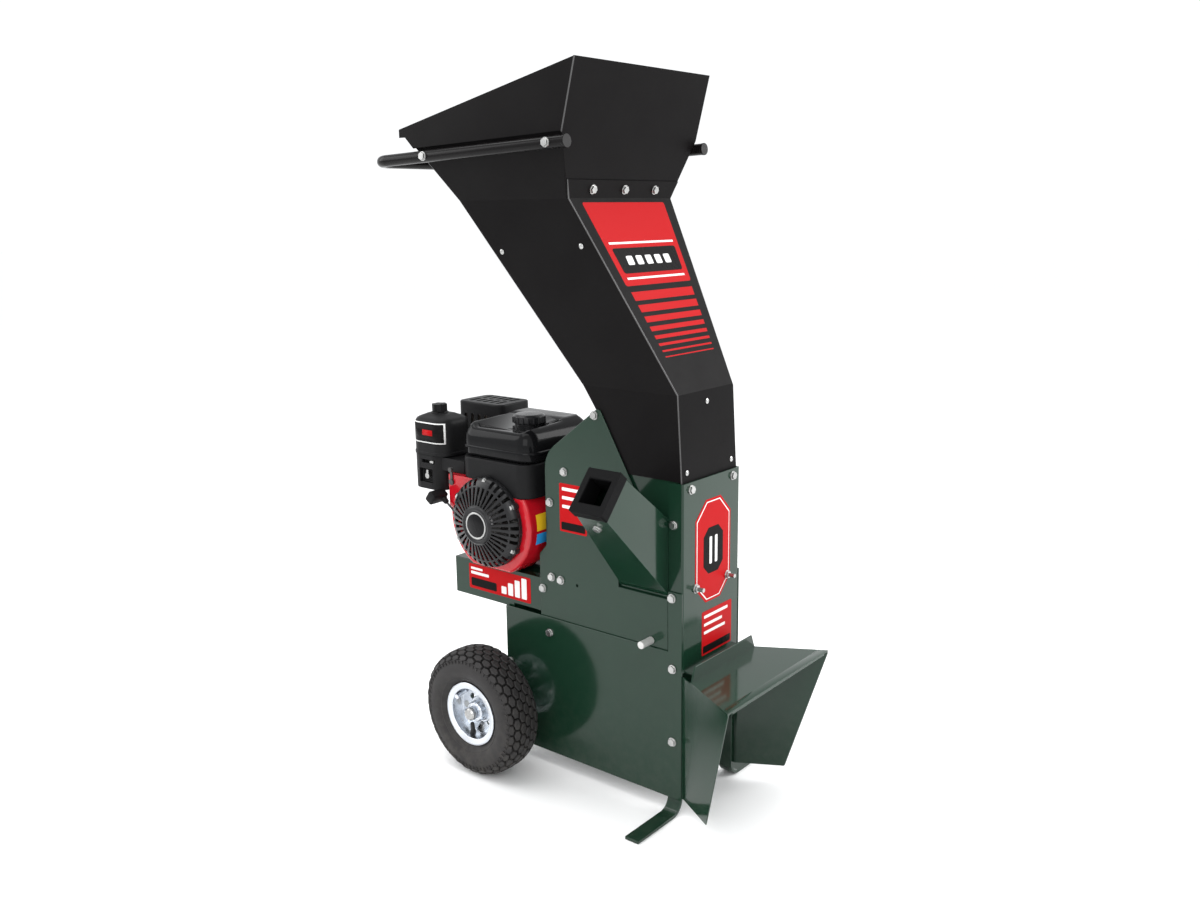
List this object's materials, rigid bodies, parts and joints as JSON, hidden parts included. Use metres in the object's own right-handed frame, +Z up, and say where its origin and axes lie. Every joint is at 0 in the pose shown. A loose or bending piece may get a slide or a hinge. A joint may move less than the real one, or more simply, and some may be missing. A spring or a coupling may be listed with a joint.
{
  "type": "garden shredder",
  "caption": "Petrol garden shredder: belt-driven knife rotor in a sheet-steel housing with a tall hopper, a side chute for branches, a discharge deflector, an engine bench and wheels.",
  "frame": {"origin": "middle of the whole machine's box, on the ground", "axes": "+X to the right as seen from the deflector's side, so the chipper chute is on -X; +Y to the rear, where the engine and wheels are; +Z up"},
  "size_m": [0.5156, 0.848, 1.3605],
  "materials": {
    "green_paint": "high-gloss dark green paint",
    "black_coat": "satin black powder coat",
    "zinc": "bright zinc plating",
    "rim_zinc": "pressed steel, zinc plated",
    "steel": "plain machined steel",
    "iron": "cast iron",
    "casting": "as-cast aluminium",
    "red_shroud": "glossy red paint",
    "black_plastic": "fine-textured black plastic",
    "tank_black": "glossy black plastic",
    "muffler_steel": "heat-resistant dark grey paint",
    "lead_rubber": "black rubber",
    "tyre": "grey-black rubber"
  },
  "bodies": {
    "frame": {"front_panel": "green_paint", "left_side_plate": "green_paint", "right_side_plate": "green_paint", "left_skirt": "green_paint", "right_skirt": "green_paint", "rotor_case": "green_paint", "rear_cover": "green_paint", "engine_bench": "green_paint", "left_leg": "green_paint", "right_leg": "green_paint", "axle_brackets": "green_paint", "chipper_chute": "green_paint", "deflector": "green_paint", "belt_guard": "green_paint", "hopper_neck": "black_coat", "hopper_head": "black_coat", "handle_tube": "black_coat", "muffler_guard": "black_coat", "screen_pin": "zinc", "axle_retainers": "zinc", "housing_bolts": "zinc", "hopper_fasteners": "zinc", "axle": "steel", "discharge_screen": "steel", "anvil_bar": "steel", "cartridge_bearings": "steel", "bearing_cartridge": "iron", "crankcase": "casting", "crankcase_cover": "casting", "cylinder_head": "casting", "carburettor": "casting", "blower_housing": "red_shroud", "chute_collar": "black_plastic", "recoil_cover": "black_plastic", "engine_cowl": "black_plastic", "air_cleaner_base": "black_plastic", "air_cleaner_cover": "black_plastic", "fuel_tank": "tank_black", "muffler": "muffler_steel", "spark_plug": "lead_rubber", "drive_belt": "lead_rubber"},
    "rotor": {"rotor_shaft": "steel", "knife_disc": "steel", "chipper_knives": "steel", "shredder_drum": "steel", "driven_pulley": "iron"},
    "crank": {"crankshaft": "steel", "flywheel_fan": "casting", "drive_pulley": "iron"},
    "left_wheel": {"left_tyre": "tyre", "left_rim": "rim_zinc"},
    "right_wheel": {"right_tyre": "tyre", "right_rim": "rim_zinc"},
    "filler_cap": {"tank_cap": "black_plastic"},
    "filter_knob": {"air_cleaner_knob": "black_plastic"},
    "throttle": {"throttle_lever": "zinc"},
    "choke": {"choke_lever": "zinc"},
    "fuel_tap": {"fuel_lever": "zinc"},
    "starter_grip": {"recoil_grip": "black_plastic"},
    "oil_plug": {"oil_cap": "black_plastic"}
  },
  "joints": [
    {"name": "left_wheel_spin", "type": "hinge", "parent": "frame", "child": "left_wheel", "pos_m": [-0.16423, 0.154, 0.13], "axis": [1, 0, 0], "continuous": true},
    {"name": "right_wheel_spin", "type": "hinge", "parent": "frame", "child": "right_wheel", "pos_m": [0.21577, 0.154, 0.13], "axis": [1, 0, 0], "continuous": true},
    {"name": "rotor_spin", "type": "hinge", "parent": "frame", "child": "rotor", "pos_m": [0.02577, -0.107, 0.47], "axis": [1, 0, 0], "continuous": true},
    {"name": "crank_spin", "type": "hinge", "parent": "frame", "child": "crank", "pos_m": [0.02577, 0.184, 0.501], "axis": [1, 0, 0], "continuous": true},
    {"name": "filler_cap_turn", "type": "hinge", "parent": "frame", "child": "filler_cap", "pos_m": [-0.00023, 0.155, 0.7], "axis": [0, 0, 1], "range_deg": [0, 90]},
    {"name": "filter_knob_turn", "type": "hinge", "parent": "frame", "child": "filter_knob", "pos_m": [-0.04173, 0.374, 0.72], "axis": [0, 0, 1], "range_deg": [0, 360]},
    {"name": "throttle_swing", "type": "hinge", "parent": "frame", "child": "throttle", "pos_m": [-0.09423, 0.288, 0.569], "axis": [1, 0, 0], "range_deg": [-25, 35]},
    {"name": "choke_slide", "type": "slide", "parent": "frame", "child": "choke", "axis": [0, 1, 0], "range_m": [0, 0.022]},
    {"name": "fuel_tap_turn", "type": "hinge", "parent": "frame", "child": "fuel_tap", "pos_m": [-0.08423, 0.374, 0.568], "axis": [1, 0, 0], "range_deg": [0, 90]},
    {"name": "starter_pull", "type": "slide", "parent": "frame", "child": "starter_grip", "axis": [0, 0.8, 0.6], "range_m": [0, 0.1], "stiffness_N_per_m": 60, "springref_m": -0.02},
    {"name": "oil_plug_turn", "type": "hinge", "parent": "frame", "child": "oil_plug", "pos_m": [0.00577, 0.124, 0.443], "axis": [0, -0.9397, 0.342], "range_deg": [0, 270]}
  ],
  "couplings": [
    {"joint": "crank_spin", "follows": "rotor_spin", "ratio": 1.3333}
  ]
}
